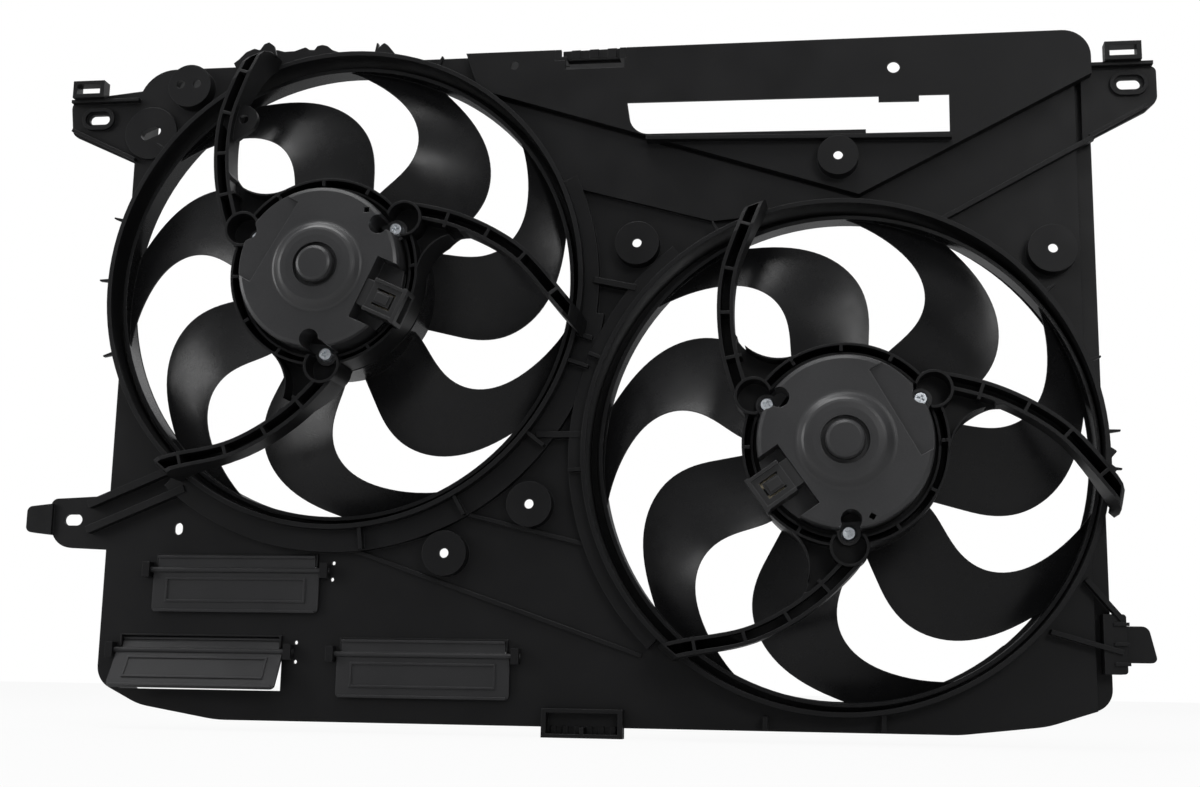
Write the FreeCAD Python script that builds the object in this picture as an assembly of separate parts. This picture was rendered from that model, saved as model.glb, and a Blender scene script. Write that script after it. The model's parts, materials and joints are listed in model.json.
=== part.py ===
import FreeCAD, Part
import math
import os

# Twin radiator cooling fan. X is the width, Z is up, +Y points to the radiator.
# The engine side, with the motors, faces -Y. All sizes are in millimetres.

V = FreeCAD.Vector
os.makedirs("parts", exist_ok=True)

# Shroud panel
panel_left = -323.0
panel_right = 328.0
panel_top = 219.0
panel_bottom = -231.0
panel_face = 14.0
panel_wall = 2.5
skirt_end = 44.0
flange_drop = 6.0
flange_width = 10.0
upper_face = 6.0
middle_face = 10.0
slot_shelf = -1.0

# Fan barrels, one for each fan
barrel_bore = 161.5
barrel_wall = 3.0
barrel_end = 30.0
barrel_lip = 3.0
tip_height = 7.0
left_tips = (68, 84, 97, 101, 108, 143, 163, 178, 196)
right_tips = (-9, -4, 4, 20, 38, 118)
left_centre = (-164.8, 57.0)
right_centre = (164.8, -57.0)
left_motor_shift = (0.2, -1.3)
right_motor_shift = (3.2, -1.6)
left_motor_turn = 2.4
right_motor_turn = 241.8

# Fan wheels
fan_gap = 4.5
band_wall = 2.5
band_front = 9.4
band_back = 25.2
hub_radius = 62.0
hub_front = -8.0
hub_back = 25.0
hub_wall = 2.5
blade_count = 7
blade_thick = 2.2
left_blade_turn = 119.0
right_blade_turn = 117.0

# Motors
can_radius = 48.5
can_wall = 2.0
can_end = 16.0
ear_face = -27.5
ear_thick = 3.0
cover_radius = can_radius + 4.5
cover_face = -50.0
cover_wall = 2.0
step_height = 4.5
cap_height = 9.0
cap_radius = 12.0
groove_radius = 14.6
conn_dir = -26.5
conn_at = (29.3, -17.8)
cover_flat = 34.1
flat_half = 21.5
shaft_radius = 4.0
shaft_tip = 34.0
screw_circle = can_radius + 5.2
screw_head = 4.7
screw_shank = 2.4
bearing_radius = 11.0
bearing_width = 7.0
run_gap = 0.05

# Motor carriers
ring_outer = can_radius + 14.0
ring_wall = 1.6
ring_front = -37.0
ring_back = -12.0
channel_width = 3.6
cup_circle = ring_outer
cup_radius = 10.2
cup_wall = 1.6
cup_front = -40.0
eye_circle = 123.3
eye_angle = 119.9
eye_front = -33.0
strut_front = -38.0
strut_back = -21.0
strut_width = 10.2
strut_wall = 2.2

# Ram air flaps
flap_width = 114.0
flap_drop = 27.5
flap_rise = 9.5
flap_thick = 1.8
flap_pin = 1.8
flap_offset = 2.8
flap_rest_turn = 32.0
flap_spots = {"upper": (-230.0, -134.0), "lower_left": (-252.0, -186.8), "lower_right": (-101.5, -187.6)}

# Clip bosses on the face: x, z, radius and front level
bosses = [(34.5, 81.8, 14.6, 4.0), (165.8, 135.4, 13.2, -4.0), (299.8, 72.4, 15.6, 4.0), (-33.3, -90.6, 14.8, 4.0),
          (-88.2, -122.5, 14.6, 4.0), (-281.8, 202.6, 15.4, 4.0)]
boss_hole = 3.1
pair_hole = 2.9

# Upper ears: the row origin lies midway between their two slots
ear_height = 183.4
ear_left = -351.4
ear_right = 352.0
slot_half = 3.5
slot_length = 15.0

barrel_outer = barrel_bore + barrel_wall
band_outer = barrel_bore - fan_gap
band_inner = band_outer - band_wall
panel_back = panel_face + panel_wall
channel_inner = ring_outer - ring_wall - channel_width
left_axis = (left_centre[0] + left_motor_shift[0], left_centre[1] + left_motor_shift[1])
right_axis = (right_centre[0] + right_motor_shift[0], right_centre[1] + right_motor_shift[1])
origin = V((ear_left + ear_right) / 2, panel_face, ear_height)
Y_AXIS = V(0, 1, 0)


def save(name, shape):
    shape = shape.copy()
    shape.translate(origin * -1)
    shape.exportStep("parts/" + name + ".step")


def polar(radius, angle, centre=(0.0, 0.0)):
    a = math.radians(angle)
    return (centre[0] + radius * math.cos(a), centre[1] + radius * math.sin(a))


def disc(centre, radius, y0, y1):
    return Part.makeCylinder(radius, y1 - y0, V(centre[0], y0, centre[1]), Y_AXIS)


def ring(centre, outer, inner, y0, y1):
    return disc(centre, outer, y0, y1).cut(disc(centre, inner, y0 - 1, y1 + 1))


def box(x0, x1, y0, y1, z0, z1):
    return Part.makeBox(x1 - x0, y1 - y0, z1 - z0, V(x0, y0, z0))


def sector(centre, outer, inner, a0, a1, y0, y1):
    """Part of a ring from angle a0 to a1, counted from +X towards +Z."""
    p0 = V(*flat(polar(outer, a0, centre), y0))
    pm = V(*flat(polar(outer, (a0 + a1) / 2, centre), y0))
    p1 = V(*flat(polar(outer, a1, centre), y0))
    q1 = V(*flat(polar(inner, a1, centre), y0))
    qm = V(*flat(polar(inner, (a0 + a1) / 2, centre), y0))
    q0 = V(*flat(polar(inner, a0, centre), y0))
    edges = [Part.Arc(p0, pm, p1).toShape(), Part.makeLine(p1, q1),
             Part.Arc(q1, qm, q0).toShape(), Part.makeLine(q0, p0)]
    return Part.Face(Part.Wire(edges)).extrude(V(0, y1 - y0, 0))


def flat(point, y):
    return (point[0], y, point[1])


def outline(points, y=0.0):
    """Closed wire through (x, z) or (x, z, corner radius) points at depth y."""
    edges = []
    n = len(points)
    ends = []
    for i in range(n):
        p = points[i]
        a = points[i - 1]
        b = points[(i + 1) % n]
        here = V(p[0], y, p[1])
        if len(p) < 3 or p[2] == 0:
            ends.append((here, None, here))
            continue
        u = (V(a[0], y, a[1]) - here).normalize()
        w = (V(b[0], y, b[1]) - here).normalize()
        half = u.getAngle(w) / 2
        back = p[2] / math.tan(half)
        bis = (u + w).normalize()
        mid = here + bis * (p[2] / math.sin(half) - p[2])
        ends.append((here + u * back, mid, here + w * back))
    for i in range(n):
        s, m, e = ends[i]
        if m is not None:
            edges.append(Part.Arc(s, m, e).toShape())
        nxt = ends[(i + 1) % n][0]
        if (nxt - e).Length > 1e-6:
            edges.append(Part.makeLine(e, nxt))
    return Part.Wire(edges)


def plate(points, y0, y1):
    return Part.Face(outline(points, y0)).extrude(V(0, y1 - y0, 0))


def bar(p, q, width, y0, y1):
    """Straight rib of the given width between two (x, z) points."""
    dx, dz = q[0] - p[0], q[1] - p[1]
    length = math.hypot(dx, dz)
    nx, nz = -dz / length * width / 2, dx / length * width / 2
    pts = [(p[0] + nx, p[1] + nz), (p[0] - nx, p[1] - nz), (q[0] - nx, q[1] - nz), (q[0] + nx, q[1] + nz)]
    return plate(pts, y0, y1)


def slot_cut(centre, length, half, turn, y0, y1):
    """Round-ended slot, length measured end to end."""
    d = length / 2 - half
    p = polar(d, turn, centre)
    q = polar(-d, turn, centre)
    return bar(p, q, 2 * half, y0, y1).fuse([disc(p, half, y0, y1), disc(q, half, y0, y1)]).removeSplitter()


def revolve(profile, centre=(0.0, 0.0)):
    """Body of revolution about a fan axis from (radius, y) points."""
    pts = [V(centre[0] + r, y, centre[1]) for r, y in profile]
    face = Part.Face(Part.makePolygon(pts + [pts[0]]))
    return face.revolve(V(centre[0], 0, centre[1]), Y_AXIS, 360)


def moved(shape, centre):
    s = shape.copy()
    s.translate(V(centre[0], 0, centre[1]))
    return s


def turned(shape, angle, centre=(0.0, 0.0)):
    """Turn about a fan axis, counted from +X towards +Z."""
    s = shape.copy()
    s.rotate(V(centre[0], 0, centre[1]), Y_AXIS, -angle)
    return s


def fused(shapes):
    out = shapes[0].fuse(shapes[1:]) if len(shapes) > 1 else shapes[0]
    return out.removeSplitter()


def largest(shape):
    return max(shape.Solids, key=lambda s: s.Volume)


# Shroud panel: a shallow tray that closes on the radiator
def panel_points(inset):
    return [
        (panel_left + inset, panel_top - inset, 26 - inset),
        (panel_right - inset, panel_top - inset, 18 - inset),
        (panel_right - inset, panel_bottom + 19 + inset, 14 - inset),
        (panel_right - 40, panel_bottom + 6 + inset, 60),
        (panel_right - 92, panel_bottom + inset, 80),
        (panel_left + 84, panel_bottom + inset, 80),
        (panel_left + 30, panel_bottom + 9 + inset, 40),
        (panel_left + inset, panel_bottom + 24 + inset, 16 - inset),
    ]


def upper_step(inset):
    i = inset
    return [(-92 + i, panel_top + 20), (-76 + i, 193 + 0.9 * i), (179, 111.8 + 1.1 * i), (330 - i, 190 + 1.4 * i),
            (330 - i, panel_top + 20)]


def middle_step(inset):
    i = inset
    return [(-76 + 2 * i, 190.5 - i), (-22 + i, 125.5 + i), (-14, 124 + i), (84, 97 + i), (120, 100 + i),
            (176 - 2 * i, 110.5 - i)]


def make_panel():
    face = plate(panel_points(0), panel_face, panel_back)
    # Stepped edge along the right side
    step = box(panel_right - flange_width, panel_right + 5, panel_face - 1, panel_face + flange_drop,
               panel_bottom, panel_top + 1)
    lower = plate(panel_points(0), panel_face + flange_drop, panel_back + flange_drop)
    lower = lower.common(box(panel_right - flange_width - panel_wall, panel_right + 5, 0, 60, -300, 300))
    wall = plate(panel_points(0), panel_face, panel_back + flange_drop)
    wall = wall.common(box(panel_right - flange_width - panel_wall, panel_right - flange_width, 0, 60, -300, 300))
    face = face.cut(step)
    outer = plate(panel_points(0), panel_face + flange_drop, skirt_end)
    inner = plate(panel_points(panel_wall), panel_face, skirt_end + 1)
    left_skirt = plate(panel_points(0), panel_face, skirt_end).cut(inner)
    left_skirt = left_skirt.cut(step)
    body = [face, lower, wall, outer.cut(inner), left_skirt]

    # Walls behind the places where a barrel stands beyond the panel edge
    for c in (left_centre, right_centre):
        bulge = ring(c, barrel_outer + panel_wall, barrel_outer, panel_back, skirt_end)
        hidden = plate(panel_points(panel_wall), panel_face, skirt_end + 1)
        body.append(bulge.cut(hidden))
        body.append(ring(c, barrel_outer + panel_wall, barrel_outer, panel_face, panel_back))

    # Raised ledges that run round the inner sides of the barrels
    body.append(sector(left_centre, barrel_outer + 14.5, barrel_outer - 1, 229, 353, 8, panel_back))
    body.append(sector(left_centre, barrel_outer + 9.5, barrel_outer - 1, 350, 385, 8, panel_back))
    body.append(sector(right_centre, barrel_outer + 9, barrel_outer - 1, 128, 226, 7, panel_back))
    for a in (277, 300, 322, 341):
        body.append(bar(polar(barrel_outer - 1, a, left_centre), polar(barrel_outer + 14, a, left_centre),
                        2.2, 1.5, 9))
    for a in (158, 184):
        body.append(bar(polar(barrel_outer - 1, a, right_centre), polar(barrel_outer + 8.5, a, right_centre),
                        2.2, 1.5, 8))

    # Upper ears
    body.append(plate([(-373.5, 198.6, 7), (panel_left + 6, 204), (panel_left + 6, 148),
                       (-370.5, 172.5, 7)], panel_face, panel_face + 3))
    body.append(plate([(panel_right - 6, 197), (369.5, 195, 4), (369.5, 172, 7), (361.5, 164.5, 5),
                       (panel_right - 6, 144)], panel_face, panel_face + 3))
    for x0, x1 in ((-371, panel_left + 2), (panel_right - 2, 367)):
        body.append(box(x0, x1, panel_face - 5, panel_face + 1, 195, 197.2))
    body.append(bar((-369, 175), (panel_left + 2, 152), 2.2, panel_face - 5, panel_face + 1))
    body.append(bar((362, 167.5), (panel_right - 2, 148), 2.2, panel_face - 5, panel_face + 1))
    for x in (ear_left, ear_right):
        rim = slot_cut((x, ear_height), slot_length + 9, slot_half + 4.5, 0, panel_face - 2.5, panel_face + 1)
        body.append(rim)

    body.append(disc((-311.3, 171.5), 19, panel_face - 2.5, panel_face + 1).cut(
        disc(left_centre, barrel_outer, -5, 60)))

    # Lower ears
    body.append(plate([(-365, -86.5, 5), (panel_left + 8, -84), (panel_left + 8, -121),
                       (-362, -119, 15)], panel_face, panel_face + 3))
    body.append(plate([(-380, -92, 4), (-362, -90), (-362, -111), (-380, -109, 4)], panel_face - 3, panel_face + 3))
    body.append(plate([(panel_right - 6, -157, 0), (335.5, -157, 2), (335.5, -193, 2), (panel_right - 6, -193)],
                      panel_face - 6, panel_back + 6))
    body.append(plate([(333, -164), (349, -164, 5), (354, -186, 3), (333, -186)], panel_face - 2, panel_face + 4))
    for z in (-163, -175, -187):
        body.append(box(328, 337, panel_face - 8, panel_face - 5, z - 1, z + 1))

    # Raised bosses for clips, open behind
    for x, z, r, y in bosses:
        body.append(disc((x, z), r, y, panel_back))
    shell = fused(body)

    # The face steps towards the engine above the two slanting lines between the fans
    shell = shell.cut(plate(upper_step(0), panel_face - 1, panel_back + 1).common(plate(panel_points(panel_wall), 0, 60)))
    shell = shell.cut(plate(middle_step(0), panel_face - 1, panel_back + 1))
    slabs = []
    for points, level in ((upper_step, upper_face), (middle_step, middle_face)):
        slab = plate(points(0), level, panel_back).common(plate(panel_points(0), 0, 60))
        core = plate(points(panel_wall), level + panel_wall, panel_back + 1)
        slabs.append(slab.cut(core.common(plate(panel_points(panel_wall), 0, 60))))
    shell = fused([shell] + slabs)

    # Shelf under the upper slot, and the moulded ribs
    ribs = []
    ribs.append(plate([(40, 151.5), (238.5, 146.5), (238.5, 149.2), (40, 154.2)], slot_shelf, panel_face))
    ribs.append(bar((6, 58), (34, 52), 4, 6, panel_face + 1))
    ribs.append(bar((-8, 23), (6, 18), 3, 4, panel_face + 1))
    ribs.append(bar((172, 119), (panel_right, 193), 3, 9, panel_face + 1))
    ribs.append(bar((232, 95), (panel_right, 147), 3, 9, panel_face + 1))
    ribs.append(bar((-335, -91), (-278, -67), 5, 7, panel_face + 1))
    ribs.append(bar((-335, -108), (-268, -80), 5, 7, panel_face + 1))
    ribs.append(bar((-171, -113.5), (40, -186), 2.5, panel_face - 2.5, panel_face + 1))
    ribs.append(bar((-74, -97), (20, -120), 2.5, panel_face - 4, panel_face + 1))
    ribs.append(bar((-30, -45), (0, -45), 4, 6, panel_face + 1))
    ribs.append(bar((313, -136), (333, -160), 3, 6, panel_face + 1))
    ribs.append(bar((291, -168), (333, -180), 3, 6, panel_face + 1))
    ribs.append(bar((118, -222), (118, -230), 3, 4, panel_face + 1))
    ribs.append(bar((190, -219), (190, -230), 3, 4, panel_face + 1))
    keep = plate(panel_points(-30), 0, 60)
    shell = fused([shell] + [r.common(keep) for r in ribs])

    # Openings
    cuts = [disc(left_centre, barrel_outer, -5, barrel_end), disc(right_centre, barrel_outer, -5, barrel_end),
            disc(left_centre, barrel_outer, barrel_end - 1, 60), disc(right_centre, barrel_outer, barrel_end - 1, 60)]
    for x, z, r, y in bosses:
        cuts.append(disc((x, z), r - panel_wall, y + panel_wall, 60))
    for x, z, r, y in bosses[:5]:
        cuts.append(disc((x, z), boss_hole, -10, 30))
    for x in (-288.4, -276.6):
        cuts.append(disc((x, 203.9), pair_hole, -10, 30))
    for x in (ear_left, ear_right):
        cuts.append(slot_cut((x, ear_height), slot_length, slot_half, 0, 0, 30))
        cuts.append(slot_cut((x, ear_height), slot_length + 4, slot_half + 2, 0, 0, panel_face))
    cuts.append(slot_cut((-311.3, 171.5), 15, 3.6, 22, 0, 60))
    cuts.append(slot_cut((-348, -100.7), 13, 3.8, 0, 0, 30))
    cuts.append(disc((-51.2, 209.2), 2.8, -10, 30))
    cuts.append(disc((202.4, 198), 4.1, -10, 30))
    cuts.append(slot_cut((-272.9, -106.5), 8, 3, 90, 0, 30))
    cuts.append(plate([(26.5, 180), (192.5, 178.6), (192.5, 174.6), (218.5, 174.2), (218.5, 178.4), (237.8, 178.2),
                       (237.8, 152.4), (184, 153), (184, 155.6), (30, 157.4, 13)], 0, 30))
    cuts.append(box(-23.5, 25.4, 0, 30, 211.5, panel_top + 5))
    cuts.append(box(-16, 24, 0, panel_face - 1, 205, 212))
    cuts.append(plate([(-91, 200.5, 1), (-86, 208, 1), (-79, 200.5, 1)], panel_face - 9, upper_face + 1.2))
    for x, z in flap_spots.values():
        cuts.append(box(x - flap_width / 2 + 1.5, x + flap_width / 2 - 1.5, 0, 30, z - flap_drop + 2.5,
                        z + flap_rise + 1.3))
    for x, z in ((-164.4, -128.8), (-164.9, -139.5), (-187.3, -180.6), (-187.3, -193)):
        cuts.append(disc((x, z), 1.3, 0, 30))
    return shell.cut(cuts).removeSplitter()


# Barrels: the short tubes that the fans run in
def make_barrel(centre, lips, gussets):
    body = [ring(centre, barrel_outer, barrel_bore, 0, barrel_end)]
    for lip_from, lip_to, depth in lips:
        body.append(sector(centre, barrel_bore + 1, barrel_bore - depth, lip_from, lip_to, barrel_end - 2, barrel_end))
    # Small stiffening tips on the outside of the barrel
    for a in gussets:
        tip = plate([(barrel_outer - 1, -1.2), (barrel_outer - 1, 1.2), (barrel_outer + tip_height, 0.5),
                     (barrel_outer + tip_height, -0.5)], 2, middle_face - 4.5)
        body.append(moved(turned(tip, a), centre))
    return fused(body)


# Motor carriers: a channelled ring on three curved channelled struts
strut_line = [(60, 38), (70, 31.5), (80, 24.8), (88, 20.3), (99, 14.7), (110, 9.6), (120.5, 5.1), (131, 0.6),
              (141.5, -4.2), (152, -8.5), (162, -11.7), (176, -14.6)]


def strip(half, y0, y1, first=0):
    """Curved strip along the strut's centre line."""
    pts = [polar(r, a) for r, a in strut_line[first:]]
    left, right = [], []
    for i, p in enumerate(pts):
        a = pts[max(i - 1, 0)]
        b = pts[min(i + 1, len(pts) - 1)]
        d = math.hypot(b[0] - a[0], b[1] - a[1])
        nx, nz = -(b[1] - a[1]) / d, (b[0] - a[0]) / d
        left.append(V(p[0] + nx * half, y0, p[1] + nz * half))
        right.append(V(p[0] - nx * half, y0, p[1] - nz * half))
    c1, c2 = Part.BSplineCurve(), Part.BSplineCurve()
    c1.interpolate(left)
    c2.interpolate(right)
    w = Part.Wire([c1.toShape(), Part.makeLine(left[-1], right[-1]), c2.toShape(), Part.makeLine(right[0], left[0])])
    return Part.Face(w).extrude(V(0, y1 - y0, 0))


def strut_web(inset):
    a, b, c = polar(98 - inset * 2, 11.8), polar(74 - inset, 10.3), polar(62, -7 + inset * 2)
    edges = [Part.Arc(V(*flat(a, -50)), V(*flat(b, -50)), V(*flat(c, -50))).toShape(),
             Part.makeLine(V(*flat(c, -50)), V(*flat(polar(60, 26), -50))),
             Part.makeLine(V(*flat(polar(60, 26), -50)), V(*flat(polar(88, 22), -50))),
             Part.makeLine(V(*flat(polar(88, 22), -50)), V(*flat(a, -50)))]
    return Part.Face(Part.Wire(edges)).extrude(V(0, 80, 0))


def make_carrier():
    foot = barrel_outer + 4
    top = [(40, strut_front), (150, strut_front), (160, strut_front + 3), (barrel_outer - 0.5, strut_front + 8),
           (foot - 1.5, strut_front + 18), (foot, -5)]
    low = [(foot, panel_face), (barrel_outer, panel_face), (barrel_outer, 0), (barrel_bore + 0.1, 0), (157, -7),
           (149, -14), (135, strut_back + 1), (90, strut_back), (80, ring_back), (40, ring_back)]
    arch = revolve(top + low)
    floor = 2.5
    trough = revolve([(40, strut_front - 3), (150, strut_front - 3), (160, strut_front), (163, strut_front + 3),
                      (163, -11), (157, -7 - floor), (149, -14 - floor), (135, strut_back + 1 - floor),
                      (90, strut_back - floor), (40, strut_back - floor)])
    strut = strip(strut_width / 2, -50, 30).common(arch)
    pocket = strip(strut_width / 2 - strut_wall, -50, 30).common(trough)
    ribs = []
    for i in (3, 5, 7, 9):
        p = polar(*strut_line[i])
        a, b = polar(*strut_line[i - 1]), polar(*strut_line[i + 1])
        d = math.hypot(b[0] - a[0], b[1] - a[1])
        nx, nz = -(b[1] - a[1]) / d * 7, (b[0] - a[0]) / d * 7
        ribs.append(bar((p[0] - nx, p[1] - nz), (p[0] + nx, p[1] + nz), 2, -50, 30))
    pocket = pocket.cut(ribs)
    # Arched web that joins the strut's clockwise side to the ring
    web, web_pocket = strut_web(0), strut_web(strut_wall)
    web = web.common(arch)
    web_pocket = web_pocket.common(trough).cut(ribs + [strip(strut_width / 2, -50, 30)])
    struts, pockets, cups, bores = [], [], [], []
    for k in range(3):
        struts += [turned(strut, 120 * k), turned(web, 120 * k)]
        pockets += [turned(pocket, 120 * k), turned(web_pocket, 120 * k)]
        c = polar(cup_circle, 30 + 120 * k)
        cups.append(disc(c, cup_radius + cup_wall, cup_front, ring_back))
        bores.append(disc(c, cup_radius, cup_front - 5, ear_face + ear_thick))
        bores.append(disc(polar(screw_circle, 30 + 120 * k), screw_shank, ear_face, ring_back + 2))
    body = fused([ring((0, 0), ring_outer, 45, ring_front, ring_back)] + struts + cups)
    channel = ring((0, 0), ring_outer - ring_wall, channel_inner, ring_front - 5, ring_back - 2)
    webs = []
    for a in range(0, 360, 30):
        webs.append(bar(polar(40, a), polar(70, a), 2.0, ring_front - 6, ring_back))
    guard = [disc(polar(cup_circle, 30 + 120 * k), cup_radius + cup_wall, -60, 30) for k in range(3)]
    channel = channel.cut(webs + guard)
    pockets = [p.cut([disc((0, 0), ring_outer, -60, 30)] + guard) for p in pockets]
    inside = disc((0, 0), channel_inner - ring_wall, ring_front - 10, ear_face + ear_thick)
    lowered = ring((0, 0), channel_inner, 40, ring_front - 10, ring_front + 4).cut(guard)
    below = disc((0, 0), can_radius + 1, ear_face, 30)
    plug_room = conn_place(box(0, 34, ring_front - 10, cover_face + 16, -12.4, 12.4))
    return body.cut([channel, inside, lowered, below, plug_room] + pockets + bores).removeSplitter()


# Fan wheel: hub cup, swept blades and outer band in one moulding
blade_lead = [(60, -42), (75, -39.5), (95, -37), (112, -33), (126, -27), (141, -16), (150, -6), (155.6, 0)]
blade_trail = [(60, 4), (75, -0.5), (95, -4.5), (112, -3), (126, 2), (141, 12), (150, 19.5), (155.6, 25)]


def blade():
    """One blade between the hub wall and the band, cambered along its chord."""
    scale = (band_outer - 1.3 - hub_radius + 2) / 95.6
    across = 5
    grids = []
    for side in (-0.5, 0.5):
        grid = []
        for (r, a), (s, b) in zip(blade_lead, blade_trail):
            radius = hub_radius - 2 + (r - 60) * scale
            t = (r - 60) / 95.6
            y_lead = 21.5 + 1.0 * t
            y_trail = 1.5 + 10.5 * t
            row = []
            for j in range(across):
                u = j / (across - 1)
                camber = 4.0 * u * (1 - u) * (3.2 - 1.2 * t)
                half = blade_thick * (0.35 + 0.65 * math.sin(math.pi * min(max(u, 0.12), 0.88)))
                ang = math.radians(a + (b - a) * u)
                y = y_lead + (y_trail - y_lead) * u + camber + side * half
                row.append(V(radius * math.cos(ang), y, radius * math.sin(ang)))
            grid.append(row)
        grids.append(grid)
    faces, surfs = [], []
    for grid in grids:
        s = Part.BSplineSurface()
        s.interpolate(grid)
        surfs.append(s)
        faces.append(s.toShape())
    low, high = surfs
    u0, u1, v0, v1 = low.bounds()
    pairs = [(low.uIso(u0), high.uIso(u0)), (low.uIso(u1), high.uIso(u1)),
             (low.vIso(v0), high.vIso(v0)), (low.vIso(v1), high.vIso(v1))]
    for p, q in pairs:
        faces.append(Part.makeRuledSurface(p.toShape(), q.toShape()))
    shell = Part.Shell(Part.makeShell(faces).Faces)
    shell.sewShape()
    solid = Part.Solid(shell)
    if solid.Volume < 0:
        solid.reverse()
    return solid


def make_fan(turn):
    hub = revolve([(hub_radius, hub_front), (hub_radius, hub_back - 3), (hub_radius - 3, hub_back),
                   (9, hub_back), (9, hub_back + 4), (shaft_radius, hub_back + 4), (shaft_radius, can_end + 1.5),
                   (9, can_end + 1.5), (9, hub_back - hub_wall), (hub_radius - 5, hub_back - hub_wall),
                   (hub_radius - hub_wall, hub_back - 5), (hub_radius - hub_wall, hub_front)])
    band = revolve([(band_outer, band_front), (band_outer, band_back), (band_inner, band_back),
                    (band_inner, band_front)])
    parts = [hub, band]
    one = blade()
    for k in range(blade_count):
        parts.append(turned(one, turn + 360.0 / blade_count * k))
    for k in range(6):
        a = turn + 60 * k
        rib = bar(polar(8, a), polar(hub_radius - 1, a), 2, hub_back - hub_wall - 3.5, hub_back - 1)
        parts.append(rib)
    body = parts[0].fuse(parts[1:])
    return body.removeSplitter()


# Motor pieces, built about the axis and then set in place
def make_cover():
    f = cover_face
    w = cover_wall
    back = ear_face
    top = f - step_height
    profile = [(0, f - cap_height), (cap_radius - 2.6, f - cap_height), (cap_radius - 0.9, f - cap_height + 0.8),
               (cap_radius, f - cap_height + 2.6), (cap_radius, f - 0.5), (groove_radius, f - 0.5),
               (groove_radius, top), (19.5, top), (23, top + 0.3), (24.6, top + 0.8), (26, top + 1.7), (27.2, top + 2.8),
               (28.4, top + 3.9), (29.6, top + 4.35), (31, f), (cover_radius - 3, f), (cover_radius - 0.9, f + 0.9),
               (cover_radius, f + 3), (cover_radius, back),
               (cover_radius - w, back), (cover_radius - w, f + w + 1.5), (bearing_radius + w + 3, f + w + 1.5),
               (bearing_radius + w, f + w + 3), (bearing_radius + w, f + 10), (bearing_radius, f + 10),
               (bearing_radius, f + 10 - bearing_width), (0, f + 10 - bearing_width)]
    body = revolve(profile)
    cuts, walls = [], []
    for k in range(3):
        a = 30 + 120 * k
        cuts.append(disc(polar(cup_circle, a), cup_radius + cup_wall + 1, f - 10, back + 1))
        walls.append(disc(polar(cup_circle, a), cup_radius + cup_wall + 1 + w, f + 0.5, back))
        cuts.append(disc(polar(screw_circle, a), screw_head + 1.2, f - 10, back + 1))
        walls.append(disc(polar(screw_circle, a), screw_head + 1.2 + w, f + 0.5, back))
    for a in (32, 264):
        cuts.append(disc(polar(47.5, a), 6.3, f - 10, back + 1))
        walls.append(disc(polar(47.5, a), 6.3 + w, f + 0.5, back))
    solid_disc = revolve([(0, f), (cover_radius - 2.5, f), (cover_radius, f + 2.5), (cover_radius, back), (0, back)])
    inner = [x.common(solid_disc) for x in walls]
    body = fused([body] + inner)
    # Flat side towards the connector
    m = polar(cover_flat, conn_dir)

    def at_flat(shape, share=1.0):
        return turned(shape, conn_dir).translated(V(m[0] * share, 0, m[1] * share))

    flat_side = at_flat(box(0, 40, f - 10, back + 1, -60, 60))
    limit = at_flat(box(-5, 60, f - 20, back + 5, -flat_half, flat_half), 0.9)
    flat_walls = [box(-w, 0, f + 0.5, back, -flat_half - w, flat_half + w),
                  box(-w, 30, f + 0.5, back, -flat_half - w, -flat_half),
                  box(-w, 30, f + 0.5, back, flat_half, flat_half + w)]
    flat_walls = [at_flat(x).common(solid_disc) for x in flat_walls]
    flat_floor = at_flat(box(-w, 30, f + 16.3, f + 18.3, -flat_half - 0.5, flat_half + 0.5)).common(solid_disc)
    body = fused([body] + flat_walls).cut([flat_side.common(limit)] + cuts)
    body = fused([body, flat_floor.cut(cuts)])
    # Wedge shaped flat on the far side
    wedge = Part.makeBox(40, 20, 60, V(0, -20, -30))
    wedge.rotate(V(0, 0, 0), V(0, 0, 1), -3.5)
    wedge = turned(wedge, 148)
    p = polar(34, 148)
    wedge.translate(V(p[0], f + 1.9, p[1]))
    body = body.cut(wedge)
    body = body.cut(box(-1.7, 1.7, f - 1, f + 6, -1.7, 1.7).translated(V(*flat(polar(48, 47), 0))))
    return body.removeSplitter()


def make_can():
    back = ear_face + ear_thick
    e = can_end
    body = revolve([(can_radius, ear_face), (can_radius, e - 3), (can_radius - 3, e), (bearing_radius + 1.5, e),
                    (bearing_radius + 1.5, e + 0.6), (shaft_radius + 2, e + 0.6), (shaft_radius + 2, e - 1.2),
                    (bearing_radius, e - 1.2), (bearing_radius, e - 1.2 - bearing_width),
                    (bearing_radius + 1.5, e - 1.2 - bearing_width), (bearing_radius + 1.5, e - can_wall),
                    (can_radius - 4, e - can_wall), (can_radius - can_wall, e - 4), (can_radius - can_wall, ear_face)])
    flange = ring((0, 0), cover_radius, can_radius - 1, ear_face, back)
    ears, holes = [], []
    for k in range(3):
        a = 30 + 120 * k
        c = polar(screw_circle, a)
        ears.append(disc(c, 7, ear_face, back))
        ears.append(bar(polar(can_radius - 1, a), c, 14, ear_face, back))
        holes.append(disc(c, screw_shank + 0.3, ear_face - 1, back + 1))
    body = fused([body, flange] + ears)
    return body.cut(holes + [disc((0, 0), can_radius - can_wall, ear_face - 1, 0)]).removeSplitter()


def make_magnets():
    out = []
    r = can_radius - can_wall
    for k in range(4):
        out.append(sector((0, 0), r, r - 6, 90 * k + 8, 90 * k + 82, -17, 9))
    return Part.makeCompound(out)


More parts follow.
